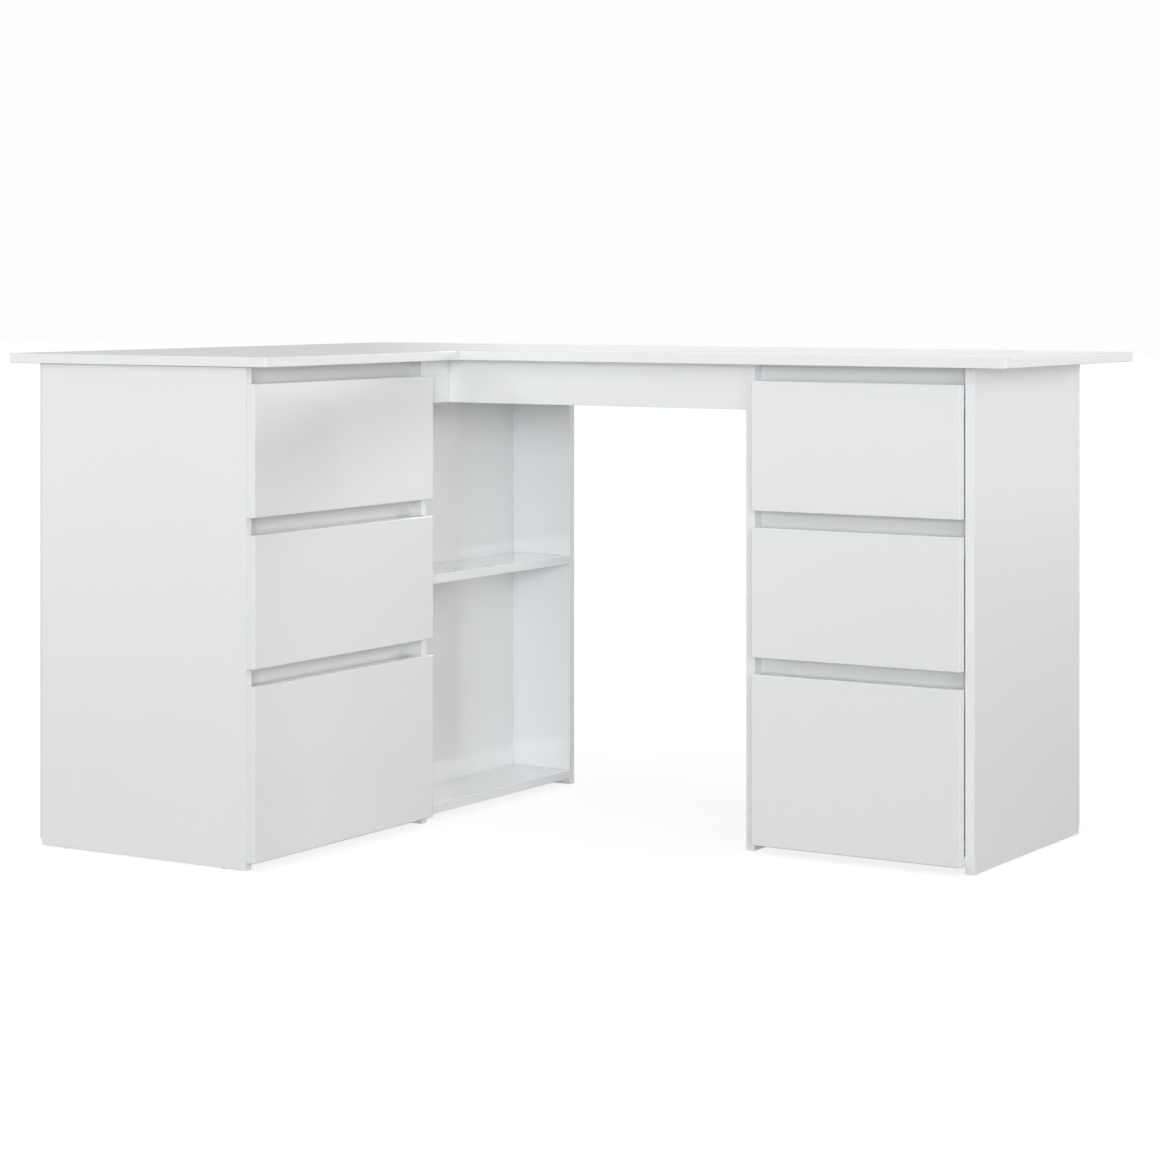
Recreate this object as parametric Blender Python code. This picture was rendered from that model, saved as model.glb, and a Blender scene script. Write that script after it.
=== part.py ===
"""L-shaped corner desk of 15 mm foil-faced boards: two desktops, a drawer and shelf unit, a drawer pedestal.

World frame: +X along the long side, +Y towards the wall behind it, +Z up.
The origin is on the floor, at the middle of the desk's outer rectangle.
Corner positions below are measured from the near left corner of that rectangle.
"""

import bpy
from mathutils import Vector

# Driving dimensions, in metres.
DESK_LENGTH = 1.450
DESK_DEPTH = 1.000
DESK_HEIGHT = 0.760
BOARD = 0.015
BACK_BOARD = 0.003
GAP = 0.0003
EDGE_BREAK = 0.0006

# Desktops.
RETURN_WIDTH = 0.500
MAIN_DEPTH = 0.495
PLATE_THICKNESS = 0.002
PLATE_WIDTH = 0.040
PLATE_SPANS = ((0.080, 0.180), (0.200, 0.300), (0.345, 0.430))

# Carcasses.
CARCASS_DEPTH = 0.400
LEFT_OVERHANG = 0.053
NEAR_OVERHANG = 0.012
LEFT_UNIT_LENGTH = 0.920
LEFT_PEDESTAL_WIDTH = 0.470
RIGHT_OVERHANG = 0.068
FRONT_OVERHANG = 0.041
RIGHT_PEDESTAL_WIDTH = 0.380
FLOOR_CLEARANCE = 0.012

# Open shelves.
SHELF_DEPTH = 0.116
MIDDLE_SHELF_HEIGHT = 0.383

# Rails under the desktops.
APRON_HEIGHT = 0.070
RAIL_HEIGHT = 0.060
RAIL_SETBACK = 0.020
RAIL_COVER = 0.002

# Drawer fronts.
FINGER_GAP = 0.025
SMALL_FRONT_HEIGHT = 0.1985
LEFT_FRONT_INSET = 0.0025
RIGHT_FRONT_INSET = 0.016

# Drawer boxes.
BOX_BOARD = 0.012
BOX_DEPTH = 0.350
BOX_LIFT = 0.024
RUNNER_CLEARANCE = 0.013
SMALL_BOX_HEIGHT = 0.120
LARGE_BOX_HEIGHT = 0.180
BOX_BOTTOM = 0.003
GROOVE_DEPTH = 0.005
GROOVE_OFFSET = 0.008

# Worked out from the driving dimensions.
UNDERSIDE = DESK_HEIGHT - BOARD
PANEL_TOP = UNDERSIDE - GAP
SEAM_Y = DESK_DEPTH - MAIN_DEPTH
LEFT_BACK_X = LEFT_OVERHANG
LEFT_FRONT_X = LEFT_OVERHANG + CARCASS_DEPTH
LEFT_NEAR_Y = NEAR_OVERHANG
LEFT_SPLIT_Y = NEAR_OVERHANG + LEFT_PEDESTAL_WIDTH
LEFT_FAR_Y = NEAR_OVERHANG + LEFT_UNIT_LENGTH
RIGHT_OUTER_X = DESK_LENGTH - RIGHT_OVERHANG
RIGHT_INNER_X = RIGHT_OUTER_X - RIGHT_PEDESTAL_WIDTH
RIGHT_FRONT_Y = SEAM_Y + FRONT_OVERHANG
RIGHT_BACK_Y = RIGHT_FRONT_Y + CARCASS_DEPTH
SHELF_BACK_X = LEFT_FRONT_X - SHELF_DEPTH
LARGE_FRONT_HEIGHT = UNDERSIDE - FLOOR_CLEARANCE - 3 * FINGER_GAP - 2 * SMALL_FRONT_HEIGHT
BACK_DEPTH = BACK_BOARD + GAP
RAIL_TOPS = (
    PANEL_TOP,
    UNDERSIDE - FINGER_GAP - SMALL_FRONT_HEIGHT + RAIL_COVER,
    UNDERSIDE - 2 * (FINGER_GAP + SMALL_FRONT_HEIGHT) + RAIL_COVER,
)
DRAWERS = (
    ("top", UNDERSIDE - FINGER_GAP - SMALL_FRONT_HEIGHT, SMALL_FRONT_HEIGHT, SMALL_BOX_HEIGHT),
    ("middle", UNDERSIDE - 2 * (FINGER_GAP + SMALL_FRONT_HEIGHT), SMALL_FRONT_HEIGHT, SMALL_BOX_HEIGHT),
    ("bottom", FLOOR_CLEARANCE, LARGE_FRONT_HEIGHT, LARGE_BOX_HEIGHT),
)

CORNER = Vector((-DESK_LENGTH / 2, -DESK_DEPTH / 2, 0.0))
BOX_FACES = ((0, 2, 3, 1), (4, 5, 7, 6), (0, 1, 5, 4), (2, 6, 7, 3), (0, 4, 6, 2), (1, 3, 7, 5))


def clear_scene():
    for obj in list(bpy.data.objects):
        bpy.data.objects.remove(obj)


def make_material(name, colour, roughness, metallic=0.0):
    material = bpy.data.materials.new(name)
    material.use_nodes = True
    shader = material.node_tree.nodes["Principled BSDF"]
    shader.inputs["Base Color"].default_value = (*colour, 1.0)
    shader.inputs["Roughness"].default_value = roughness
    shader.inputs["Metallic"].default_value = metallic
    return material


def box_mesh(name, size):
    """A box of this size around its own centre, with its faces pointing out."""
    half = Vector(size) / 2
    corners = [
        (x * half.x, y * half.y, z * half.z)
        for x in (-1, 1)
        for y in (-1, 1)
        for z in (-1, 1)
    ]
    mesh = bpy.data.meshes.new(name)
    mesh.from_pydata(corners, [], [tuple(reversed(face)) for face in BOX_FACES])
    mesh.validate()
    mesh.update()
    return mesh


def box_object(name, low, high, parent=None):
    """A box between two corners, which are measured from the desk's near left corner."""
    low = Vector(low)
    high = Vector(high)
    obj = bpy.data.objects.new(name, box_mesh(name, high - low))
    bpy.context.scene.collection.objects.link(obj)
    obj.location = CORNER + (low + high) / 2
    if parent is not None:
        obj.parent = parent
        obj.location -= parent.location
    return obj


def board(name, low, high, material, parent=None):
    """A board whose edges are broken by a small chamfer."""
    obj = box_object(name, low, high, parent)
    obj.data.materials.append(material)
    bevel = obj.modifiers.new("edge_break", "BEVEL")
    bevel.width = EDGE_BREAK
    bevel.segments = 1
    bevel.limit_method = "NONE"
    return obj


def cut_groove(obj, low, high, parent):
    """Cuts a straight groove with a box that stays in the file as a hidden cutter."""
    cutter = box_object(obj.name + "_groove_cutter", low, high, parent)
    cutter.hide_render = True
    cutter.display_type = "WIRE"
    groove = obj.modifiers.new("groove", "BOOLEAN")
    groove.operation = "DIFFERENCE"
    groove.object = cutter


def placed(turned, across, along):
    """A point as (x, y): along is the way the drawers open from, across is beside it.

    The left drawers open along +X, so their across axis is Y. The right drawers open along -Y.
    """
    return (along, across) if turned else (across, along)


def make_desktops(gloss, steel):
    board("main_top", (0, SEAM_Y, UNDERSIDE), (DESK_LENGTH, DESK_DEPTH, DESK_HEIGHT), gloss)
    board("return_top", (0, 0, UNDERSIDE), (RETURN_WIDTH, SEAM_Y - GAP, DESK_HEIGHT), gloss)
    for number, (start, end) in enumerate(PLATE_SPANS, 1):
        low = (start, SEAM_Y - PLATE_WIDTH / 2, PANEL_TOP - PLATE_THICKNESS)
        high = (end, SEAM_Y + PLATE_WIDTH / 2, PANEL_TOP)
        board(f"top_joining_plate_{number}", low, high, steel)


def make_left_panels(gloss, hardboard):
    """The end panel and the partition carry the drawers, and the far panel closes the shelves."""
    drawer_back_x = LEFT_BACK_X + BACK_DEPTH
    for name, near_y, back_x in (
        ("left_end_panel", LEFT_NEAR_Y, drawer_back_x),
        ("left_partition", LEFT_SPLIT_Y - BOARD, drawer_back_x),
        ("left_far_panel", LEFT_FAR_Y - BOARD, LEFT_BACK_X),
    ):
        board(name, (back_x, near_y, 0), (LEFT_FRONT_X, near_y + BOARD, PANEL_TOP), gloss)
    board(
        "left_pedestal_back",
        (LEFT_BACK_X, LEFT_NEAR_Y, FLOOR_CLEARANCE),
        (LEFT_BACK_X + BACK_BOARD, LEFT_SPLIT_Y, PANEL_TOP),
        hardboard,
    )


def make_shelves(gloss):
    near_y = LEFT_SPLIT_Y + GAP
    far_y = LEFT_FAR_Y - BOARD - GAP
    board("shelf_back", (SHELF_BACK_X - BOARD, near_y, FLOOR_CLEARANCE), (SHELF_BACK_X, far_y, PANEL_TOP), gloss)
    for name, height in (("bottom_shelf", FLOOR_CLEARANCE), ("middle_shelf", MIDDLE_SHELF_HEIGHT)):
        board(name, (SHELF_BACK_X + GAP, near_y, height), (LEFT_FRONT_X, far_y, height + BOARD), gloss)
    rail_low = UNDERSIDE - APRON_HEIGHT
    board("shelf_top_rail", (LEFT_FRONT_X - BOARD, near_y, rail_low), (LEFT_FRONT_X, far_y, PANEL_TOP), gloss)


def make_right_panels(gloss, hardboard):
    rear_y = RIGHT_BACK_Y - BACK_DEPTH
    for name, low_x in (
        ("right_inner_panel", RIGHT_INNER_X),
        ("right_outer_panel", RIGHT_OUTER_X - BOARD),
    ):
        board(name, (low_x, RIGHT_FRONT_Y, 0), (low_x + BOARD, rear_y, PANEL_TOP), gloss)
    board(
        "right_pedestal_back",
        (RIGHT_INNER_X, RIGHT_BACK_Y - BACK_BOARD, FLOOR_CLEARANCE),
        (RIGHT_OUTER_X, RIGHT_BACK_Y, PANEL_TOP),
        hardboard,
    )


def make_apron(gloss):
    low = (LEFT_FRONT_X + GAP, RIGHT_FRONT_Y, UNDERSIDE - APRON_HEIGHT)
    high = (RIGHT_INNER_X - GAP, RIGHT_FRONT_Y + BOARD, PANEL_TOP)
    board("apron", low, high, gloss)


def make_cross_boards(side, turned, span, front, inward, gloss):
    """The bottom board and the three rails between a pedestal's two panels."""
    start = span[0] + BOARD + GAP
    end = span[1] - BOARD - GAP
    inner_depth = CARCASS_DEPTH - BACK_DEPTH - GAP
    for name, setback, depth, low_z, high_z in (
        ("pedestal_bottom", 0.0, inner_depth, FLOOR_CLEARANCE, FLOOR_CLEARANCE + BOARD),
        ("top_rail", RAIL_SETBACK, BOARD, RAIL_TOPS[0] - RAIL_HEIGHT, RAIL_TOPS[0]),
        ("middle_rail", RAIL_SETBACK, BOARD, RAIL_TOPS[1] - RAIL_HEIGHT, RAIL_TOPS[1]),
        ("lower_rail", RAIL_SETBACK, BOARD, RAIL_TOPS[2] - RAIL_HEIGHT, RAIL_TOPS[2]),
    ):
        near, far = sorted((front + inward * setback, front + inward * (setback + depth)))
        low = (*placed(turned, start, near), low_z)
        high = (*placed(turned, end, far), high_z)
        board(f"{side}_{name}", low, high, gloss)


def make_drawer(name, turned, span, inset, front, inward, row, gloss, inner, hardboard):
    """One drawer: a front that stands proud of the panels, two sides, a back and a grooved-in bottom."""
    _, low_z, front_height, box_height = row
    slide = bpy.data.objects.new(name + "_slide", None)
    bpy.context.scene.collection.objects.link(slide)
    middle = (span[0] + span[1]) / 2
    slide.location = CORNER + Vector((*placed(turned, middle, front), low_z + front_height / 2))

    def corners(across, along, heights):
        """Low and high corner of a box given across the drawer, inwards from the panels' edge, and in height."""
        near, far = sorted(front + inward * step for step in along)
        return (
            (*placed(turned, across[0], near), heights[0]),
            (*placed(turned, across[1], far), heights[1]),
        )

    box_z = low_z + BOX_LIFT
    box_top = box_z + box_height
    box_start = span[0] + BOARD + RUNNER_CLEARANCE
    box_end = span[1] - BOARD - RUNNER_CLEARANCE
    groove_z = box_z + GROOVE_OFFSET
    bottom_z = groove_z + GAP
    groove_heights = (groove_z, groove_z + BOX_BOTTOM + 2 * GAP)
    inner_start = box_start + BOX_BOARD
    inner_end = box_end - BOX_BOARD
    reach = GROOVE_DEPTH - GAP
    past = BOARD

    across = (span[0] + inset, span[1] - inset)
    low, high = corners(across, (-BOARD, -GAP), (low_z, low_z + front_height))
    front_board = board(name + "_front", low, high, gloss, slide)
    across = (inner_start - GROOVE_DEPTH, inner_end + GROOVE_DEPTH)
    low, high = corners(across, (-GROOVE_DEPTH - GAP, past), groove_heights)
    cut_groove(front_board, low, high, slide)

    for side, side_start in (("left", box_start), ("right", inner_end)):
        low, high = corners((side_start, side_start + BOX_BOARD), (0.0, BOX_DEPTH), (box_z, box_top))
        side_board = board(f"{name}_{side}_side", low, high, inner, slide)
        if side == "left":
            groove = (inner_start - GROOVE_DEPTH, inner_start + past)
        else:
            groove = (inner_end - past, inner_end + GROOVE_DEPTH)
        low, high = corners(groove, (-past, BOX_DEPTH + past), groove_heights)
        cut_groove(side_board, low, high, slide)

    across = (inner_start + GAP, inner_end - GAP)
    back_heights = (bottom_z + BOX_BOTTOM + GAP, box_top)
    low, high = corners(across, (BOX_DEPTH - BOX_BOARD, BOX_DEPTH), back_heights)
    board(name + "_back", low, high, inner, slide)

    across = (inner_start - reach, inner_end + reach)
    low, high = corners(across, (-reach, BOX_DEPTH), (bottom_z, bottom_z + BOX_BOTTOM))
    bottom = box_object(name + "_bottom", low, high, slide)
    bottom.data.materials.append(hardboard)


def main():
    clear_scene()
    gloss = make_material("gloss_white_board", (0.86, 0.87, 0.88), 0.08)
    inner = make_material("satin_white_board", (0.82, 0.82, 0.81), 0.35)
    hardboard = make_material("white_hardboard", (0.78, 0.78, 0.76), 0.50)
    steel = make_material("zinc_plated_steel", (0.62, 0.63, 0.64), 0.30, 1.0)

    make_desktops(gloss, steel)
    make_left_panels(gloss, hardboard)
    make_shelves(gloss)
    make_right_panels(gloss, hardboard)
    make_apron(gloss)

    left = ("left", True, (LEFT_NEAR_Y, LEFT_SPLIT_Y), LEFT_FRONT_INSET, LEFT_FRONT_X, -1)
    right = ("right", False, (RIGHT_INNER_X, RIGHT_OUTER_X), RIGHT_FRONT_INSET, RIGHT_FRONT_Y, 1)
    for side, turned, span, inset, front, inward in (left, right):
        make_cross_boards(side, turned, span, front, inward, gloss)
        for row in DRAWERS:
            name = f"{side}_{row[0]}_drawer"
            make_drawer(name, turned, span, inset, front, inward, row, gloss, inner, hardboard)


main()
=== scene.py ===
import math

import bpy
import numpy as np
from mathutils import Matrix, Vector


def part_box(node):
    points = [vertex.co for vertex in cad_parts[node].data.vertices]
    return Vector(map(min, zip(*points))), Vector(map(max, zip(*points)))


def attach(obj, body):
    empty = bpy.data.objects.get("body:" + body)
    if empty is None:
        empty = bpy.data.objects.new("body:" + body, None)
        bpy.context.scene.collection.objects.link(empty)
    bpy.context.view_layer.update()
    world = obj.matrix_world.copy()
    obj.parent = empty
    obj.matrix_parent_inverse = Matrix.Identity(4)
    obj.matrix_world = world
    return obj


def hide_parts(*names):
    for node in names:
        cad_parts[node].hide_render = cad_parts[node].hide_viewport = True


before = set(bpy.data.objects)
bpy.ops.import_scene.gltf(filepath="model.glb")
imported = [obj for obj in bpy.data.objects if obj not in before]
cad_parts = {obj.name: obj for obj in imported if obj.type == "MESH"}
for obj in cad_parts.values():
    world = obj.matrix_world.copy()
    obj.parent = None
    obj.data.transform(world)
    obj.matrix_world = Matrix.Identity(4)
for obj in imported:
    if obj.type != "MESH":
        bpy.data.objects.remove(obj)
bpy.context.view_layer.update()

xAxis, yAxis, zAxis = 0, 1, 2
print("frame loaded:", len(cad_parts), "nodes")


# Camera: level, so that every panel's upright edges stay upright in the view.
view = {"place": (2.49381, -4.02432, 0.87003), "turn": 31.718, "lens": 93.882, "shiftUp": -0.2568}
cameraData = bpy.data.cameras.new("camera")
cameraData.sensor_width = 36
cameraData.lens = view["lens"]
cameraData.shift_y = view["shiftUp"]
cameraData.clip_end = 200
camera = bpy.data.objects.new("camera", cameraData)
camera.location = view["place"]
camera.rotation_euler = (math.pi / 2, 0, math.radians(view["turn"]))
bpy.context.scene.collection.objects.link(camera)
bpy.context.scene.camera = camera
print("camera placed")


# The desk: its bodies, and the ways its drawers slide. The left ones come out along +X and the right ones
# along -Y.
deskFrame = "desk_frame"
units = ("left", "right")
rows = ("top", "middle", "bottom")
slideAxes = {"left": (yAxis, xAxis), "right": (xAxis, yAxis)}  # across a drawer, along its slide
inward = {"left": np.array((-1.0, 0.0, 0.0)), "right": np.array((0.0, 1.0, 0.0))}


def frontAndRear(unit, box):
    # Where a box's front and rear faces are along the slide of its unit's drawers.
    low, high = box
    return (high.x, low.x) if unit == "left" else (low.y, high.y)


def nextAxes(axis):
    return (axis + 1) % 3, (axis + 2) % 3


# Mesh code. A shell is four arrays: its points, the corners of all its faces in one row, how many corners
# each face has, and each face's kind, which is the number of its material.
meshing = {"sharpAngle": 40, "smallestRadius": 0.00002, "cornerSteps": 5, "seamHalfWidth": 0.00014}


def ringShell(rings, kinds=None):
    # Closed rings of points one after another along an axis, each joined to the next by a band of quads.
    # The first and the last ring are closed by one flat face each.
    count = rings.shape[1]
    step = np.arange(count)
    start = np.arange(len(rings) - 1)[:, None] * count
    here = start + step
    after = start + (step + 1) % count
    quads = np.stack([here, after, after + count, here + count], axis=-1)
    firstCap, lastCap = step[::-1], step + (len(rings) - 1) * count
    corners = np.concatenate([quads.ravel(), firstCap, lastCap])
    sizes = np.concatenate([np.full(here.size, 4), [count, count]])
    bandKinds = np.zeros(len(rings) - 1, int) if kinds is None else kinds
    return rings.reshape(-1, 3), corners, sizes, np.concatenate([np.repeat(bandKinds, count), [0, 0]])


def placed(shell, origin, axes):
    # point = origin + u * first axis + v * second axis + w * third axis. Mirrored axes turn each face round.
    points, corners, sizes, kinds = shell
    axes = np.array(axes, float)
    points = points @ axes + np.array(origin, float)
    if np.linalg.det(axes) < 0:
        return points, corners[::-1], sizes[::-1], kinds[::-1]
    return points, corners, sizes, kinds


def joined(shells):
    # The corners of each shell count on from the number of points in the shells before it.
    points, corners, sizes, kinds = zip(*shells)
    before = np.cumsum([0] + [len(some) for some in points[:-1]])
    corners = [some + number for some, number in zip(corners, before)]
    return [np.concatenate(arrays) for arrays in (points, corners, sizes, kinds)]


def makePiece(name, shells, materials, body, replaced=()):
    points, corners, sizes, kinds = joined(shells)
    mesh = bpy.data.meshes.new(name)
    mesh.vertices.add(len(points))
    mesh.vertices.foreach_set("co", points.ravel().astype(np.float32))
    mesh.loops.add(len(corners))
    mesh.loops.foreach_set("vertex_index", corners.astype(np.int32))
    mesh.polygons.add(len(sizes))
    mesh.polygons.foreach_set("loop_start", (np.cumsum(sizes) - sizes).astype(np.int32))
    for material in materials:
        mesh.materials.append(material)
    mesh.polygons.foreach_set("material_index", kinds.astype(np.int32))
    mesh.update(calc_edges=True)
    mesh.shade_smooth()
    mesh.set_sharp_from_angle(angle=math.radians(meshing["sharpAngle"]))
    piece = bpy.data.objects.new(name, mesh)
    bpy.context.scene.collection.objects.link(piece)
    flatter = piece.modifiers.new("flat_faces_stay_flat", "WEIGHTED_NORMAL")
    flatter.weight = 100  # the largest faces decide, so the rounded edges shade into them
    flatter.keep_sharp = True
    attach(piece, body)
    if replaced:
        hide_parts(*replaced)


def roundedRings(halfA, halfB, corner, insets, heights):
    # Each ring is a rectangle with quarter-circle corners, inset from the outline by its own amount:
    # corner centre + radius * (cos, sin), with radius = corner radius - inset, and never below the smallest.
    insets = np.asarray(insets)[:, None, None]
    radius = np.maximum(corner - insets, meshing["smallestRadius"])
    quarter = np.linspace(0, math.pi / 2, meshing["cornerSteps"])
    turn = np.arange(4)[:, None] * math.pi / 2 + quarter[None, :]
    signA = np.array([1, -1, -1, 1])[:, None]
    signB = np.array([1, 1, -1, -1])[:, None]
    a = signA * (halfA - insets - radius) + radius * np.cos(turn)
    b = signB * (halfB - insets - radius) + radius * np.sin(turn)
    c = np.broadcast_to(np.asarray(heights)[:, None, None], a.shape)
    rings = np.stack([a, b, c], axis=-1)
    return rings.reshape(len(rings), -1, 3)


def edgeProfile(edge):
    # From the flat face out to the side: a quarter circle, inset = r * (1 - sin), drop = r * (1 - cos).
    # A banded edge has its glue line before that, a shallow V in the face where the band meets the board.
    turn = np.linspace(0, math.pi / 2, edge["steps"])
    insets = edge["round"] * (1 - np.sin(turn))
    drops = edge["round"] * (1 - np.cos(turn))
    if "band" in edge:
        glueLine = edge["band"] + meshing["seamHalfWidth"] * np.array([1, 0, -1])
        insets = np.concatenate([glueLine, insets])
        drops = np.concatenate([[0.0, edge["seam"], 0.0], drops])
    return insets, drops


def boardShell(low, high, faceEdge, backEdge, cornerRadius):
    # A board between two corners. Its thinnest side is its thickness, and its face looks up that axis.
    # Kind 0 is the flat faces up to the middle of their glue lines, and kind 1 is the band between these.
    low, high = np.array(low, float), np.array(high, float)
    half = (high - low) / 2
    thin = int(np.argmin(half))
    a, b = nextAxes(thin)
    backInsets, backDrops = edgeProfile(backEdge)
    faceInsets, faceDrops = edgeProfile(faceEdge)
    insets = np.concatenate([backInsets, faceInsets[::-1]])
    heights = np.concatenate([backDrops - half[thin], half[thin] - faceDrops[::-1]])
    rings = roundedRings(half[a], half[b], cornerRadius, insets, heights)
    kinds = np.full(len(rings) - 1, 1 if "band" in faceEdge else 0)
    kinds[[0, -1]] = 0
    return placed(ringShell(rings, kinds), (low + high) / 2, np.eye(3)[[a, b, thin]])


def turnedShell(profile, segments):
    # A profile of (radius, height) turned about the w axis: (r cos, r sin, h).
    profile = np.array(profile, float)
    turn = np.arange(segments) * 2 * math.pi / segments
    rings = np.stack([
        profile[:, :1] * np.cos(turn),
        profile[:, :1] * np.sin(turn),
        np.repeat(profile[:, 1:], segments, axis=1),
    ], axis=-1)
    return ringShell(rings)


# A screw or cam head. Rings, recess and hub are shares of the radius, and depth is a share of the height.
crossHead = {
    "rings": (1.0, 1.0, 0.94, 0.78, 0.55, 0.42, 0.12), "doming": 0.8,
    "recess": 0.5, "hub": 0.2, "armLimit": 0.9, "depth": 0.55,
}


def crossHeadShell(radius, height, segments=16):
    # A dome, h = height * sqrt(1 - doming * share^2), with its foot at h = 0. The recess is cut where
    # cos(2 * angle)^2 passes the arms' limit, which gives four arms, and all round near the middle.
    share = np.array(crossHead["rings"])[:, None]
    turn = np.arange(segments) * 2 * math.pi / segments
    dome = height * np.sqrt(1 - crossHead["doming"] * share ** 2)
    dome[0] = 0.0
    cross = (np.cos(2 * turn) ** 2 > crossHead["armLimit"])[None, :] | (share < crossHead["hub"])
    sink = np.where(cross & (share < crossHead["recess"]), crossHead["depth"] * height, 0.0)
    rings = np.stack([
        radius * share * np.cos(turn),
        radius * share * np.sin(turn),
        np.broadcast_to(dome, (len(share), segments)) - sink,
    ], axis=-1)
    return ringShell(rings)


def bentStripShell(corners, thickness, bend, length, steps=4):
    # Sheet metal: a line through the corners with an arc at each, half the thickness to either side of it,
    # carried straight along w. Arc point = centre + bend radius * a unit vector that turns from the arc's
    # start to its end.
    corners = np.array(corners, float)
    line = [corners[:1]]
    for before, here, after in zip(corners[:-2], corners[1:-1], corners[2:]):
        inwards = (before - here) / np.linalg.norm(before - here)
        outwards = (after - here) / np.linalg.norm(after - here)
        opening = math.acos(np.clip(inwards @ outwards, -1, 1))
        reach = bend / math.tan(opening / 2)
        middle = (inwards + outwards) / np.linalg.norm(inwards + outwards)
        centre = here + middle * bend / math.sin(opening / 2)
        start, end = here + inwards * reach - centre, here + outwards * reach - centre
        share = np.linspace(0, 1, steps)[:, None]
        arc = start * (1 - share) + end * share
        line.append(centre + bend * arc / np.linalg.norm(arc, axis=1, keepdims=True))
    line = np.concatenate(line + [corners[-1:]])
    along = np.gradient(line, axis=0)
    along /= np.linalg.norm(along, axis=1, keepdims=True)
    side = np.stack([along[:, 1], -along[:, 0]], axis=1) * thickness / 2
    outline = np.concatenate([line + side, (line - side)[::-1]])
    x, y = outline.T
    twiceArea = np.sum(x * np.roll(y, -1) - y * np.roll(x, -1))
    outline = outline if twiceArea > 0 else outline[::-1]
    rings = np.stack([np.column_stack([outline, np.full(len(outline), w)]) for w in (0.0, length)])
    return ringShell(rings)


# Materials. Every pattern reads Object coordinates, in metres.
def newMaterial(name, constants):
    material = bpy.data.materials.new(name)
    material.use_nodes = True
    shader = material.node_tree.nodes["Principled BSDF"]
    for socket, value in constants.items():
        shader.inputs[socket].default_value = value
    return material, material.node_tree, shader


def noise(tree, scale, detail=2.0, stretch=(1, 1, 1)):
    place = tree.nodes.new("ShaderNodeTexCoord")
    mapping = tree.nodes.new("ShaderNodeMapping")
    mapping.inputs["Scale"].default_value = stretch
    texture = tree.nodes.new("ShaderNodeTexNoise")
    texture.inputs["Scale"].default_value = scale
    texture.inputs["Detail"].default_value = detail
    tree.links.new(place.outputs["Object"], mapping.inputs["Vector"])
    tree.links.new(mapping.outputs["Vector"], texture.inputs["Vector"])
    return texture.outputs["Fac"]


def ranged(tree, value, fromRange, toRange=(0, 1)):
    node = tree.nodes.new("ShaderNodeMapRange")
    for socket, number in zip(("From Min", "From Max", "To Min", "To Max"), (*fromRange, *toRange)):
        node.inputs[socket].default_value = number
    tree.links.new(value, node.inputs["Value"])
    return node.outputs["Result"]


def mathNode(tree, operation, *values):
    node = tree.nodes.new("ShaderNodeMath")
    node.operation = operation
    for socket, value in zip(node.inputs, values):
        if isinstance(value, (int, float)):
            socket.default_value = value
        else:
            tree.links.new(value, socket)
    return node.outputs["Value"]


def colourBetween(tree, share, first, second):
    node = tree.nodes.new("ShaderNodeMix")
    node.data_type = "RGBA"
    node.inputs["A"].default_value = (*first, 1)
    node.inputs["B"].default_value = (*second, 1)
    tree.links.new(share, node.inputs["Factor"])
    return node.outputs["Result"]


def bumped(tree, shader, height, distance):
    node = tree.nodes.new("ShaderNodeBump")
    node.inputs["Strength"].default_value = 1.0
    node.inputs["Distance"].default_value = distance
    tree.links.new(height, node.inputs["Height"])
    tree.links.new(node.outputs["Normal"], shader.inputs["Normal"])


# What all the board finishes share. A range is the part of a noise that its pattern takes.
finishing = {
    "driftRange": (0.3, 0.7), "smudgeRange": (0.35, 0.7), "rubScale": 900, "rubRange": (0.58, 0.74),
    "swellScale": 28, "swellShare": 1.6, "coatIor": 1.5,
}


def boardFinish(name, look):
    # A slow drift of tone, smudges and fine rubbing marks in the gloss, and a slight orange peel.
    material, tree, shader = newMaterial(name, {
        "IOR": look["ior"], "Coat Weight": look["coat"], "Coat Roughness": look["coatRoughness"],
        "Coat IOR": finishing["coatIor"],
    })
    drift = ranged(tree, noise(tree, look["driftScale"], 3), finishing["driftRange"])
    tree.links.new(colourBetween(tree, drift, look["shade"], look["tint"]), shader.inputs["Base Color"])
    smudge = ranged(tree, noise(tree, look["smudgeScale"], 4), finishing["smudgeRange"])
    rubbing = ranged(tree, noise(tree, finishing["rubScale"], 2, look["rubStretch"]), finishing["rubRange"])
    marks = mathNode(tree, "MAXIMUM", smudge, mathNode(tree, "MULTIPLY", rubbing, look["rubShare"]))
    tree.links.new(ranged(tree, marks, (0, 1), look["roughness"]), shader.inputs["Roughness"])
    swell = mathNode(tree, "MULTIPLY", noise(tree, finishing["swellScale"], 0), finishing["swellShare"])
    peel = mathNode(tree, "ADD", noise(tree, look["peelScale"], 1), swell)
    bumped(tree, shader, peel, look["peelDepth"])
    return material


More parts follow.
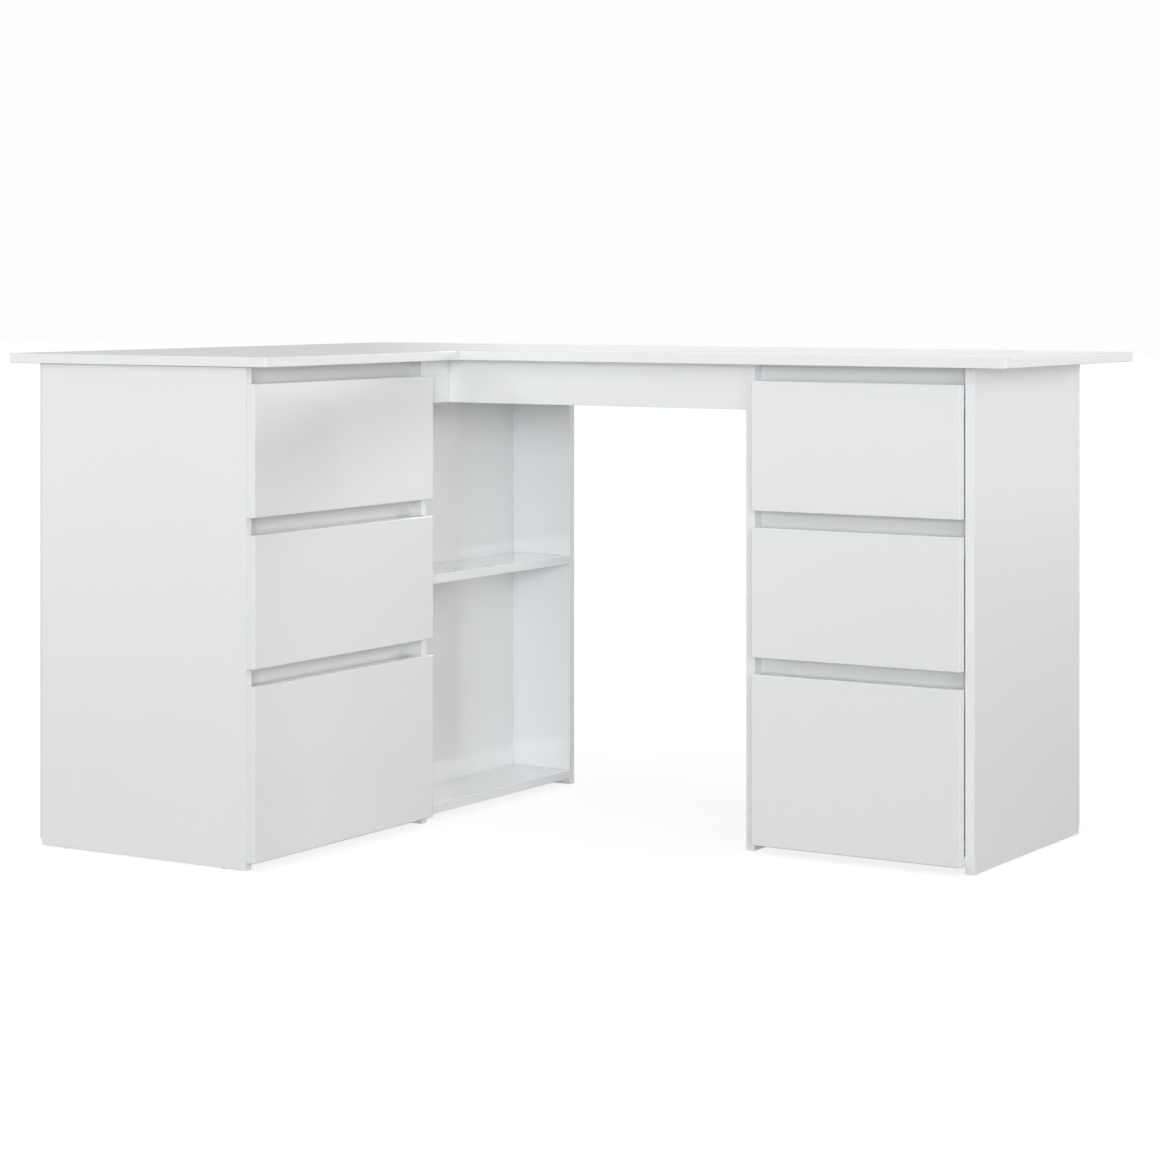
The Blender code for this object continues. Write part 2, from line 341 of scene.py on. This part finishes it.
foilLook = {
    "shade": (0.905, 0.915, 0.922), "tint": (0.918, 0.926, 0.932), "driftScale": 2.3, "smudgeScale": 9,
    "roughness": (0.045, 0.11), "rubStretch": (0.05, 1, 1), "rubShare": 0.5,
    "peelScale": 170, "peelDepth": 0.000012, "ior": 1.5, "coat": 0.6, "coatRoughness": 0.03,
}
bandLook = {
    "shade": (0.915, 0.922, 0.928), "tint": (0.930, 0.936, 0.940), "driftScale": 5, "smudgeScale": 30,
    "roughness": (0.12, 0.18), "rubStretch": (0.15, 0.15, 1), "rubShare": 0.5,
    "peelScale": 700, "peelDepth": 0.000010, "ior": 1.5, "coat": 0.2, "coatRoughness": 0.08,
}
satinLook = {
    "shade": (0.845, 0.850, 0.846), "tint": (0.870, 0.874, 0.870), "driftScale": 4, "smudgeScale": 14,
    "roughness": (0.34, 0.46), "rubStretch": (1, 1, 0.08), "rubShare": 0.6,
    "peelScale": 1900, "peelDepth": 0.00004, "ior": 1.5, "coat": 0.0, "coatRoughness": 0.03,
}
hardboardLook = {
    "shade": (0.850, 0.852, 0.848), "tint": (0.870, 0.872, 0.868), "driftScale": 7, "smudgeScale": 60,
    "roughness": (0.48, 0.66), "rubStretch": (0.3, 0.3, 1), "rubShare": 0.8,
    "peelScale": 1300, "peelDepth": 0.00012, "ior": 1.46, "coat": 0.0, "coatRoughness": 0.03,
}
nylonLook = {
    "shade": (0.80, 0.80, 0.78), "tint": (0.85, 0.85, 0.83), "driftScale": 90, "smudgeScale": 300,
    "roughness": (0.36, 0.50), "rubStretch": (1, 1, 1), "rubShare": 0.5,
    "peelScale": 2500, "peelDepth": 0.00003, "ior": 1.53, "coat": 0.0, "coatRoughness": 0.03,
}
glossFoil = boardFinish("gloss_white_foil", foilLook)
edgeBand = boardFinish("white_edge_band", bandLook)
satinFoil = boardFinish("satin_white_foil", satinLook)
hardboard = boardFinish("painted_hardboard", hardboardLook)
nylon = boardFinish("natural_nylon", nylonLook)

# What both metal finishes share: the brushing is drawn out along X.
brushing = {
    "scale": 1500, "stretch": (0.04, 1, 1), "range": (0.3, 0.7),
    "spangleRange": (0.35, 0.65), "grainScale": 2200,
}


def metalFinish(name, look):
    # A spangled tone, brushed along one way, and a fine grain.
    material, tree, shader = newMaterial(name, {"Metallic": 1.0})
    spangle = ranged(tree, noise(tree, look["spangle"], 3), brushing["spangleRange"])
    tree.links.new(colourBetween(tree, spangle, look["dark"], look["light"]), shader.inputs["Base Color"])
    brushed = noise(tree, brushing["scale"], 2, brushing["stretch"])
    tree.links.new(ranged(tree, brushed, brushing["range"], look["roughness"]), shader.inputs["Roughness"])
    bumped(tree, shader, noise(tree, brushing["grainScale"], 2), look["grain"])
    return material


zincLook = {
    "dark": (0.68, 0.69, 0.71), "light": (0.80, 0.81, 0.82), "spangle": 45,
    "roughness": (0.30, 0.42), "grain": 0.000004,
}
dieCastLook = {
    "dark": (0.52, 0.52, 0.53), "light": (0.64, 0.64, 0.65), "spangle": 300,
    "roughness": (0.38, 0.52), "grain": 0.000010,
}
zincSteel = metalFinish("zinc_plated_steel", zincLook)
dieCastZinc = metalFinish("die_cast_zinc", dieCastLook)
print("materials made")


# Boards of the desk's frame, each with a band glued round its edges.
boardEdges = {"round": 0.0006, "band": 0.0009, "seam": 0.00006, "steps": 4, "corner": 0.0010}
topEdges = {"round": 0.0010, "band": 0.0014, "seam": 0.00006, "steps": 5, "corner": 0.0030}
glideHeight = 0.0015
standingPanels = (
    "left_end_panel", "left_partition", "left_far_panel", "right_inner_panel", "right_outer_panel",
)
plainBoards = (
    "shelf_back", "bottom_shelf", "middle_shelf", "shelf_top_rail", "apron",
    "left_pedestal_bottom", "left_top_rail", "left_middle_rail", "left_lower_rail",
    "right_pedestal_bottom", "right_top_rail", "right_middle_rail", "right_lower_rail",
)


def glossBoard(node, edges, lift=0.0):
    low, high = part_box(node)
    low.z += lift
    shell = boardShell(low, high, edges, edges, edges["corner"])
    makePiece(node + "_foiled", [shell], [glossFoil, edgeBand], deskFrame, [node])


for node in ("main_top", "return_top"):
    glossBoard(node, topEdges)
for node in standingPanels:
    glossBoard(node, boardEdges, glideHeight)
for node in plainBoards:
    glossBoard(node, boardEdges)
print("frame boards made")


# Drawers. A front has foil wrapped over a softly rounded face edge, and a crisp edge behind.
frontEdges = {
    "soft": {"round": 0.0022, "steps": 6}, "crisp": {"round": 0.0005, "steps": 3}, "corner": 0.0016,
}
sideEdges = {"round": 0.0009, "steps": 4, "corner": 0.0009}
thinEdges = {"round": 0.0003, "steps": 3, "corner": 0.0006}
bottomClearance = 0.0002


def drawerFront(unit, name):
    node = name + "_front"
    soft, crisp = frontEdges["soft"], frontEdges["crisp"]
    faceEdge, backEdge = (soft, crisp) if unit == "left" else (crisp, soft)
    shell = boardShell(*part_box(node), faceEdge, backEdge, frontEdges["corner"])
    makePiece(node + "_wrapped", [shell], [glossFoil], name, [node])


def drawerBoard(name, part):
    node = f"{name}_{part}"
    shell = boardShell(*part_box(node), sideEdges, sideEdges, sideEdges["corner"])
    makePiece(node + "_foiled", [shell], [satinFoil], name, [node])


def drawerBottom(unit, name):
    # The hardboard lies between the boards and not in their grooves, which nothing shows.
    node = name + "_bottom"
    low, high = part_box(node)
    leftLow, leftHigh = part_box(name + "_left_side")
    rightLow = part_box(name + "_right_side")[0]
    across, along = slideAxes[unit]
    low[across] = leftHigh[across] + bottomClearance
    high[across] = rightLow[across] - bottomClearance
    low[along] = max(low[along], leftLow[along] + bottomClearance)
    high[along] = min(high[along], leftHigh[along] - bottomClearance)
    shell = boardShell(low, high, thinEdges, thinEdges, thinEdges["corner"])
    makePiece(node + "_panel", [shell], [hardboard], name, [node])


for unit in units:
    for row in rows:
        name = f"{unit}_{row}_drawer"
        drawerFront(unit, name)
        for part in ("left_side", "right_side", "back"):
            drawerBoard(name, part)
        drawerBottom(unit, name)
print("drawers made")


# Backs of the pedestals, nailed on. A nail head's profile is in shares of its radius and its height.
backNails = {
    "radius": 0.0024, "height": 0.0006, "inset": 0.0075, "apart": 0.105, "sunk": 0.0002, "segments": 10,
}
nailProfile = ((1.0, 0.3), (0.8, 0.8), (0.4, 1.0))


def nailedBack(unit):
    # Nails go along all four edges, in equal steps close to the given one.
    node = f"{unit}_pedestal_back"
    low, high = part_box(node)
    sheet = boardShell(low, high, thinEdges, thinEdges, thinEdges["corner"])
    makePiece(node + "_sheet", [sheet], [hardboard], deskFrame, [node])
    across, along = slideAxes[unit]
    start, end = low[across] + backNails["inset"], high[across] - backNails["inset"]
    bottom, top = low.z + backNails["inset"], high.z - backNails["inset"]
    places = np.linspace(start, end, round((end - start) / backNails["apart"]) + 1)
    heights = np.linspace(bottom, top, round((top - bottom) / backNails["apart"]) + 1)
    spots = [(place, height) for place in places for height in (bottom, top)]
    spots += [(place, height) for height in heights[1:-1] for place in (start, end)]
    r, h = backNails["radius"], backNails["height"]
    profile = [(r, -backNails["sunk"])] + [(wide * r, up * h) for wide, up in nailProfile]
    head = turnedShell(profile, backNails["segments"])
    axes = (np.eye(3)[across], np.eye(3)[zAxis], inward[unit])
    origin = np.zeros(3)
    origin[along] = frontAndRear(unit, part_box(node))[1]
    heads = []
    for place, height in spots:
        origin[across], origin[zAxis] = place, height
        heads.append(placed(head, origin, axes))
    makePiece(f"{unit}_back_nails", heads, [zincSteel], deskFrame)


for unit in units:
    nailedBack(unit)
print("backs made")


# Steel plates under the joint of the two desktops, screwed from below.
plateEdges = {"round": 0.0004, "steps": 3, "corner": 0.006}
plateScrews = {"inset": 0.011, "radius": 0.0038, "height": 0.0011, "columns": 3}
headDown = ((1, 0, 0), (0, -1, 0), (0, 0, -1))


def screwedPlate(node):
    low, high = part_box(node)
    plate = boardShell(low, high, plateEdges, plateEdges, plateEdges["corner"])
    head = crossHeadShell(plateScrews["radius"], plateScrews["height"])
    inset = plateScrews["inset"]
    columns = np.linspace(low.x + inset, high.x - inset, plateScrews["columns"])
    heads = [placed(head, (x, y, low.z), headDown) for x in columns for y in (low.y + inset, high.y - inset)]
    makePiece(node + "_pressed", [plate], [zincSteel], deskFrame, [node])
    makePiece(node + "_screws", heads, [zincSteel], deskFrame)


for number in (1, 2, 3):
    screwedPlate(f"top_joining_plate_{number}")
print("joining plates made")


# Nail-on glides, two under each standing panel. The profile is in shares of the radius and of the height.
glide = {"radius": 0.0062, "inset": 0.045, "segments": 20}
glideProfile = ((0.45, 0.0), (0.8, 0.0), (0.95, 0.3), (1.0, 0.7), (1.0, 1.0))


def panelGlides(node):
    low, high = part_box(node)
    along = xAxis if high.x - low.x > high.y - low.y else yAxis
    profile = [(wide * glide["radius"], up * glideHeight) for wide, up in glideProfile]
    disc = turnedShell(profile, glide["segments"])
    discs = []
    for place in (low[along] + glide["inset"], high[along] - glide["inset"]):
        spot = [(low.x + high.x) / 2, (low.y + high.y) / 2, 0.0]
        spot[along] = place
        discs.append(placed(disc, spot, np.eye(3)))
    makePiece(node + "_glides", discs, [nylon], deskFrame)


for node in standingPanels:
    panelGlides(node)
print("glides made")


# Fittings. Each sits on a face of a board, given as an axis and a side, at places along the other two axes.
fitting = {
    "camRadius": 0.0075, "camHeight": 0.0009, "capRadius": 0.0088, "capHeight": 0.0009,
    "confirmatRadius": 0.0036, "confirmatHeight": 0.0008, "socketShare": 0.5,
    "fromEnd": 0.034, "sunk": 0.0002, "segments": 24,
}
capProfile = ((1.0, 0.0), (0.97, 0.45), (0.88, 0.8), (0.6, 1.0), (0.3, 1.05))


def camShell(radius):
    return crossHeadShell(radius, fitting["camHeight"], fitting["segments"])


def capShell():
    # A low dome, its profile in shares of the cap's radius and height.
    r, h = fitting["capRadius"], fitting["capHeight"]
    return turnedShell([(wide * r, up * h) for wide, up in capProfile], fitting["segments"])


def confirmatShell():
    # A flat head with a hexagonal socket, whose outline is share / cos(angle from the middle of its side).
    # Its rings are the foot, the head's side, its rim, the socket's edge, its floor's edge and the middle.
    r, h = fitting["confirmatRadius"], fitting["confirmatHeight"]
    turn = np.arange(fitting["segments"]) * 2 * math.pi / fitting["segments"]
    flat = np.ones(fitting["segments"])
    sixth = math.pi / 3
    hexagon = fitting["socketShare"] / np.cos((turn + sixth / 2) % sixth - sixth / 2)
    radii = np.stack([flat, flat, 0.92 * flat, hexagon, hexagon, 0.1 * flat]) * r
    heights = np.array([0, 0.6, 1.0, 1.0, 0.1, 0.1])[:, None] * h * flat
    return ringShell(np.stack([radii * np.cos(turn), radii * np.sin(turn), heights], axis=-1))


def onFace(shell, box, axis, side, spots):
    # Copies of a shell on the face at an axis's low (-1) or high (1) side. A spot is along the next two axes.
    a, b = nextAxes(axis)
    origin = np.zeros(3)
    origin[axis] = box[1 if side > 0 else 0][axis] - side * fitting["sunk"]
    axes = (np.eye(3)[a], np.eye(3)[b], np.eye(3)[axis] * side)
    copies = []
    for first, second in spots:
        origin[a], origin[b] = first, second
        copies.append(placed(shell, origin, axes))
    return copies


def spotOn(axis, along, place, other):
    # Two places on a face, one of them along the given axis, in the order that onFace takes.
    return (place, other) if nextAxes(axis)[0] == along else (other, place)


def boardFittings(node, axis, side, along, count, inset, capped):
    # Near both ends along one axis, in one or more rows across the other, inset from the board's edges.
    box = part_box(node)
    low, high = box
    ends = (low[along] + fitting["fromEnd"], high[along] - fitting["fromEnd"])
    other = 3 - axis - along
    middle = (low[other] + high[other]) / 2
    lines = [middle] if count == 1 else np.linspace(low[other] + inset, high[other] - inset, count)
    spots = [spotOn(axis, along, end, line) for end in ends for line in lines]
    if capped:
        caps = onFace(capShell(), box, axis, side, spots)
        makePiece(node + "_cam_caps", caps, [nylon], deskFrame)
    else:
        cams = onFace(camShell(fitting["camRadius"]), box, axis, side, spots)
        makePiece(node + "_cam_locks", cams, [dieCastZinc], deskFrame)


boardFittings("middle_shelf", zAxis, -1, yAxis, 2, 0.026, True)
boardFittings("bottom_shelf", zAxis, -1, yAxis, 2, 0.026, False)
boardFittings("left_pedestal_bottom", zAxis, -1, yAxis, 3, 0.05, False)
boardFittings("right_pedestal_bottom", zAxis, -1, xAxis, 3, 0.05, False)
boardFittings("shelf_back", xAxis, -1, yAxis, 3, 0.06, True)
boardFittings("shelf_top_rail", xAxis, -1, yAxis, 1, 0, True)
boardFittings("apron", yAxis, 1, xAxis, 1, 0, True)
for row in ("top", "middle", "lower"):
    boardFittings(f"left_{row}_rail", xAxis, -1, yAxis, 1, 0, False)
    boardFittings(f"right_{row}_rail", yAxis, 1, xAxis, 1, 0, False)
print("board fittings made")


# Cam locks in the panels' faces near the top, which hold the desktops. Each is on its panel's hidden side.
topLock = {"below": 0.034, "fromFront": 0.09, "fromRear": 0.06}
hiddenSides = {
    "left_end_panel": (yAxis, 1), "left_partition": (yAxis, -1), "left_far_panel": (yAxis, 1),
    "right_inner_panel": (xAxis, 1), "right_outer_panel": (xAxis, -1),
}


def topLocks(node, axis, side):
    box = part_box(node)
    low, high = box
    along = xAxis + yAxis - axis
    ends = (low[along] + topLock["fromFront"], high[along] - topLock["fromRear"])
    spots = [spotOn(axis, along, end, high.z - topLock["below"]) for end in ends]
    cams = onFace(camShell(fitting["camRadius"]), box, axis, side, spots)
    makePiece(node + "_top_cam_locks", cams, [dieCastZinc], deskFrame)


for node, (axis, side) in hiddenSides.items():
    topLocks(node, axis, side)
print("top fittings made")


# Fittings of a drawer box: cam locks inside the sides hold the front, confirmat screws hold the back.
drawerFitting = {
    "camRadius": 0.0060, "camFromFront": 0.024, "camFromEdge": 0.032,
    "screwFromRear": 0.006, "screwFromEdge": 0.03,
}


def drawerFittings(unit, name):
    across, along = slideAxes[unit]
    into = inward[unit][along]
    cams, screws = [], []
    for part, innerSide in (("left_side", 1), ("right_side", -1)):
        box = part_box(f"{name}_{part}")
        front, rear = frontAndRear(unit, box)
        bottom, top = box[0].z, box[1].z
        camPlace = front + into * drawerFitting["camFromFront"]
        screwPlace = rear - into * drawerFitting["screwFromRear"]
        camEdge, screwEdge = drawerFitting["camFromEdge"], drawerFitting["screwFromEdge"]
        camSpots = [spotOn(across, along, camPlace, z) for z in (bottom + camEdge, top - camEdge)]
        screwSpots = [spotOn(across, along, screwPlace, z) for z in (bottom + screwEdge, top - screwEdge)]
        cams += onFace(camShell(drawerFitting["camRadius"]), box, across, innerSide, camSpots)
        screws += onFace(confirmatShell(), box, across, -innerSide, screwSpots)
    makePiece(name + "_cam_locks", cams, [dieCastZinc], name)
    makePiece(name + "_back_screws", screws, [zincSteel], name)


for unit in units:
    for row in rows:
        drawerFittings(unit, f"{unit}_{row}_drawer")
print("drawer fittings made")


# Roller runners. Across a runner, u is measured from the panel's face towards the drawer, v upwards from the
# drawer box's lower edge, and w inwards from the panels' front edges. A corner list is the middle line of the
# sheet, as (u, v). A roller's place is (v, w). A sunk ring and a tread groove are in shares of the roller's
# radius and width, and a rivet's points are (share of the axle's radius, height past the end of its shank).
runner = {
    "sheet": 0.0010, "bend": 0.0011,
    "cabinetCorners": (
        (0.0092, -0.0050), (0.0092, -0.0075), (0.0007, -0.0075), (0.0007, 0.0180), (0.0090, 0.0180),
    ),
    "cabinetStart": 0.002, "cabinetLength": 0.350,
    "drawerCorners": ((0.0240, -0.0007), (0.0124, -0.0007), (0.0124, 0.0155), (0.0045, 0.0155)),
    "rollerRadius": 0.0080, "rollerFrom": 0.0032, "rollerTo": 0.0080, "rollerSegments": 28,
    "groove": 0.0004, "rim": 0.0006, "rimSteps": 4,
    "sunkRing": (0.42, 0.45, 0.80, 0.84), "treadGroove": (0.40, 0.45),
    "frontRoller": (0.0068, 0.014), "rearRoller": (0.0012, 0.335),
    "axleRadius": 0.0021, "axleSegments": 16,
    "rivet": ((1.0, -0.0002), (1.5, 0.0), (1.4, 0.0005), (0.7, 0.0009)),
    "screwPlaces": (0.037, 0.165, 0.290), "screwRadius": 0.0034, "screwHeight": 0.0010, "screwV": 0.0052,
    "underPlaces": (0.045, 0.175, 0.310), "underU": 0.0190,
}
runnerPanels = {
    "left": {"left_side": "left_end_panel", "right_side": "left_partition"},
    "right": {"left_side": "right_inner_panel", "right_side": "right_outer_panel"},
}


def rollerShell():
    # A wheel about w: a ring sunk into each side, a groove round the tread, and quarter circles for rims,
    # (r - rim + rim sin, rim - rim cos). The second half of its profile mirrors the first.
    r, wide = runner["rollerRadius"], runner["rollerTo"] - runner["rollerFrom"]
    rim, groove = runner["rim"], runner["groove"]
    turn = np.linspace(0, math.pi / 2, runner["rimSteps"])
    half = [(share * r, depth) for share, depth in zip(runner["sunkRing"], (0.0, groove, groove, 0.0))]
    half += [(r - rim + rim * math.sin(t), rim - rim * math.cos(t)) for t in turn]
    half += [(r - depth, share * wide) for share, depth in zip(runner["treadGroove"], (0.0, groove))]
    otherHalf = [(radius, wide - height) for radius, height in half[::-1]]
    return turnedShell(half + otherHalf, runner["rollerSegments"])


def axleShell(start, end):
    # A shank with a low riveted head on its far end.
    r = runner["axleRadius"]
    rivet = [(share * r, end + height) for share, height in runner["rivet"]]
    return turnedShell([(r, start)] + rivet, runner["axleSegments"])


def drawerRunner(unit, name, part):
    low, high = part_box(f"{name}_{part}")
    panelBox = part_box(runnerPanels[unit][part])
    across, along = slideAxes[unit]
    towards = 1 if part == "left_side" else -1
    origin = np.zeros(3)
    origin[across] = panelBox[1 if towards > 0 else 0][across]
    origin[along] = frontAndRear(unit, panelBox)[0]
    origin[zAxis] = low.z
    u, v, w = np.eye(3)[across] * towards, np.eye(3)[zAxis], inward[unit]
    boxStart = abs(frontAndRear(unit, (low, high))[0] - origin[along])

    def put(shell, place, axes=(u, v, w)):
        return placed(shell, origin + place[0] * u + place[1] * v + place[2] * w, axes)

    sheet, bend = runner["sheet"], runner["bend"]
    cabinet = bentStripShell(runner["cabinetCorners"], sheet, bend, runner["cabinetLength"])
    member = bentStripShell(runner["drawerCorners"], sheet, bend, high[along] - low[along])
    head = crossHeadShell(runner["screwRadius"], runner["screwHeight"])
    web, leg = runner["cabinetCorners"][2][0], runner["drawerCorners"][1][0]
    start, end = runner["rollerFrom"], runner["rollerTo"]
    webFace = web + sheet / 2
    legFace = runner["drawerCorners"][0][1] - sheet / 2
    front, rear = runner["frontRoller"], runner["rearRoller"]
    # A wheel, an axle or a screw head stands along u: its first axis lies along v and its second along w.
    outOfWeb, outOfLeg, downwards = (v, w, u), (v, w, -u), (u, w, -v)
    webHeads = [put(head, (webFace, runner["screwV"], place), outOfWeb) for place in runner["screwPlaces"]]
    legHeads = [put(head, (runner["underU"], legFace, place), downwards) for place in runner["underPlaces"]]
    steel = (zincSteel, "zinc_plated_steel")
    plastic = (nylon, "satin_white_board")
    pieces = (
        ("cabinet_runner", [put(cabinet, (0, 0, runner["cabinetStart"]))], steel, deskFrame),
        ("drawer_runner", [put(member, (0, 0, boxStart))], steel, name),
        ("front_roller", [put(rollerShell(), (start, *front), outOfWeb)], plastic, deskFrame),
        ("rear_roller", [put(rollerShell(), (start, *rear), outOfWeb)], plastic, name),
        ("front_axle", [put(axleShell(web, end), (0, *front), outOfWeb)], steel, deskFrame),
        ("rear_axle", [put(axleShell(0, leg - start), (leg, *rear), outOfLeg)], steel, name),
        ("cabinet_runner_screws", webHeads, steel, deskFrame),
        ("drawer_runner_screws", legHeads, steel, name),
    )
    side = part.replace("_side", "")
    for word, shells, (material, slotName), body in pieces:
        makePiece(f"{name}_{side}_{word}", shells, [material], body)


for unit in units:
    for row in rows:
        for part in ("left_side", "right_side"):
            drawerRunner(unit, f"{unit}_{row}_drawer", part)
print("runners made")


# Light: a wide pale room, and six broad lamps, four from the front of the desk and two from its rear and its
# left. A card is a patch of the room that is brighter than the rest, with a soft edge. Azimuth (0 is +Y and
# 90 is +X) and elevation are in degrees, and say where a card is and where a lamp shines from. A lamp's
# spread softens its shadows.
studio = {
    "backdrop": 0.985, "room": 0.145,
    "cards": (
        {"azimuth": 33, "half": 67.3, "low": -8, "high": 14, "gain": 0.74, "soft": 1.5},
        {"azimuth": -77, "half": 42.7, "low": -8, "high": 14, "gain": 0.50, "soft": 1.5},
        {"azimuth": 180, "half": 79, "low": -8, "high": 14, "gain": 0.38, "soft": 1.5},
        {"azimuth": 0, "half": 360, "low": 62, "high": 200, "gain": 0.85, "soft": 12},
        {"azimuth": 165, "half": 80, "low": 25, "high": 75, "gain": 0.22, "soft": 20},
    ),
    "lamps": (
        {"azimuth": 152, "elevation": 5, "power": 1.17, "spread": 17, "colour": (0.965, 0.985, 1.0)},
        {"azimuth": 117, "elevation": 5, "power": 0.42, "spread": 12, "colour": (1.0, 0.99, 0.975)},
        {"azimuth": 132, "elevation": 26, "power": 0.26, "spread": 25, "colour": (1.0, 1.0, 1.0)},
        {"azimuth": 215, "elevation": 24, "power": 0.27, "spread": 9, "colour": (1.0, 1.0, 1.0)},
        {"azimuth": 28, "elevation": 11, "power": 0.85, "spread": 11, "colour": (1.0, 1.0, 1.0)},
        {"azimuth": -95, "elevation": 9, "power": 1.0, "spread": 25, "colour": (1.0, 1.0, 1.0)},
    ),
    "floorSeen": 0.82, "floorTone": 0.30, "floorSize": 60,
    "floorGlow": (0.08, 0.56), "floorReach": (1.2, 9.0),
}
scene = bpy.context.scene
scene.view_settings.view_transform = "Standard"


def roomLight(tree):
    # Room tone plus each card's gain times a smooth window in azimuth and one in elevation.
    place = tree.nodes.new("ShaderNodeTexCoord")
    parts = tree.nodes.new("ShaderNodeSeparateXYZ")
    tree.links.new(place.outputs["Generated"], parts.inputs["Vector"])
    turned = mathNode(tree, "ARCTAN2", parts.outputs["X"], parts.outputs["Y"])
    azimuth = mathNode(tree, "DEGREES", turned)
    elevation = mathNode(tree, "DEGREES", mathNode(tree, "ARCSINE", parts.outputs["Z"]))
    total = studio["room"]
    for card in studio["cards"]:
        low, high, half, soft = card["low"], card["high"], card["half"], card["soft"]
        away = mathNode(tree, "WRAP", mathNode(tree, "SUBTRACT", azimuth, card["azimuth"]), 180, -180)
        away = mathNode(tree, "ABSOLUTE", away)
        inside = ranged(tree, away, (half - soft, half + soft), (1, 0))
        above = ranged(tree, elevation, (low - soft, low + soft))
        below = ranged(tree, elevation, (high - soft, high + soft), (1, 0))
        window = mathNode(tree, "MULTIPLY", inside, mathNode(tree, "MULTIPLY", above, below))
        total = mathNode(tree, "ADD", mathNode(tree, "MULTIPLY", window, card["gain"]), total)
    return total


def seenOrLighting(tree, seen, lighting):
    # One tone where the view meets the surface itself, and another where it lights the desk.
    path = tree.nodes.new("ShaderNodeLightPath")
    direct = mathNode(tree, "MULTIPLY", path.outputs["Is Camera Ray"], seen)
    notSeen = mathNode(tree, "SUBTRACT", 1, path.outputs["Is Camera Ray"])
    return mathNode(tree, "ADD", direct, mathNode(tree, "MULTIPLY", notSeen, lighting))


def makeRoom():
    world = bpy.data.worlds.new("studio")
    scene.world = world
    world.use_nodes = True
    background = world.node_tree.nodes["Background"]
    background.inputs["Color"].default_value = (1, 1, 1, 1)
    tone = seenOrLighting(world.node_tree, studio["backdrop"], roomLight(world.node_tree))
    world.node_tree.links.new(tone, background.inputs["Strength"])


def makeLamp(number, look):
    lampData = bpy.data.lights.new(f"lamp_{number}", "SUN")
    lampData.energy = look["power"]
    lampData.color = look["colour"]
    lampData.angle = math.radians(look["spread"])
    lamp = bpy.data.objects.new(f"lamp_{number}", lampData)
    lamp.rotation_euler = (math.radians(90 - look["elevation"]), 0, math.radians(180 - look["azimuth"]))
    scene.collection.objects.link(lamp)


def makeFloor():
    # It glows little near the desk and more far out, so that upright gloss is paler at its top.
    reach = studio["floorSize"] / 2
    corners = [(-reach, -reach, 0), (reach, -reach, 0), (reach, reach, 0), (-reach, reach, 0)]
    floorMesh = bpy.data.meshes.new("floor")
    floorMesh.from_pydata(corners, [], [(0, 1, 2, 3)])
    floor = bpy.data.objects.new("floor", floorMesh)
    scene.collection.objects.link(floor)
    material, tree, shader = newMaterial("pale_floor", {
        "Base Color": (studio["floorTone"],) * 3 + (1,), "Roughness": 1.0, "Specular IOR Level": 0.0,
        "Emission Color": (1, 1, 1, 1),
    })
    place = tree.nodes.new("ShaderNodeTexCoord")
    distance = tree.nodes.new("ShaderNodeVectorMath")
    distance.operation = "LENGTH"
    tree.links.new(place.outputs["Object"], distance.inputs[0])
    farGlow = ranged(tree, distance.outputs["Value"], studio["floorReach"], studio["floorGlow"])
    tree.links.new(seenOrLighting(tree, studio["floorSeen"], farGlow), shader.inputs["Emission Strength"])
    floorMesh.materials.append(material)


makeRoom()
for number, look in enumerate(studio["lamps"], 1):
    makeLamp(number, look)
makeFloor()
print("studio lit")
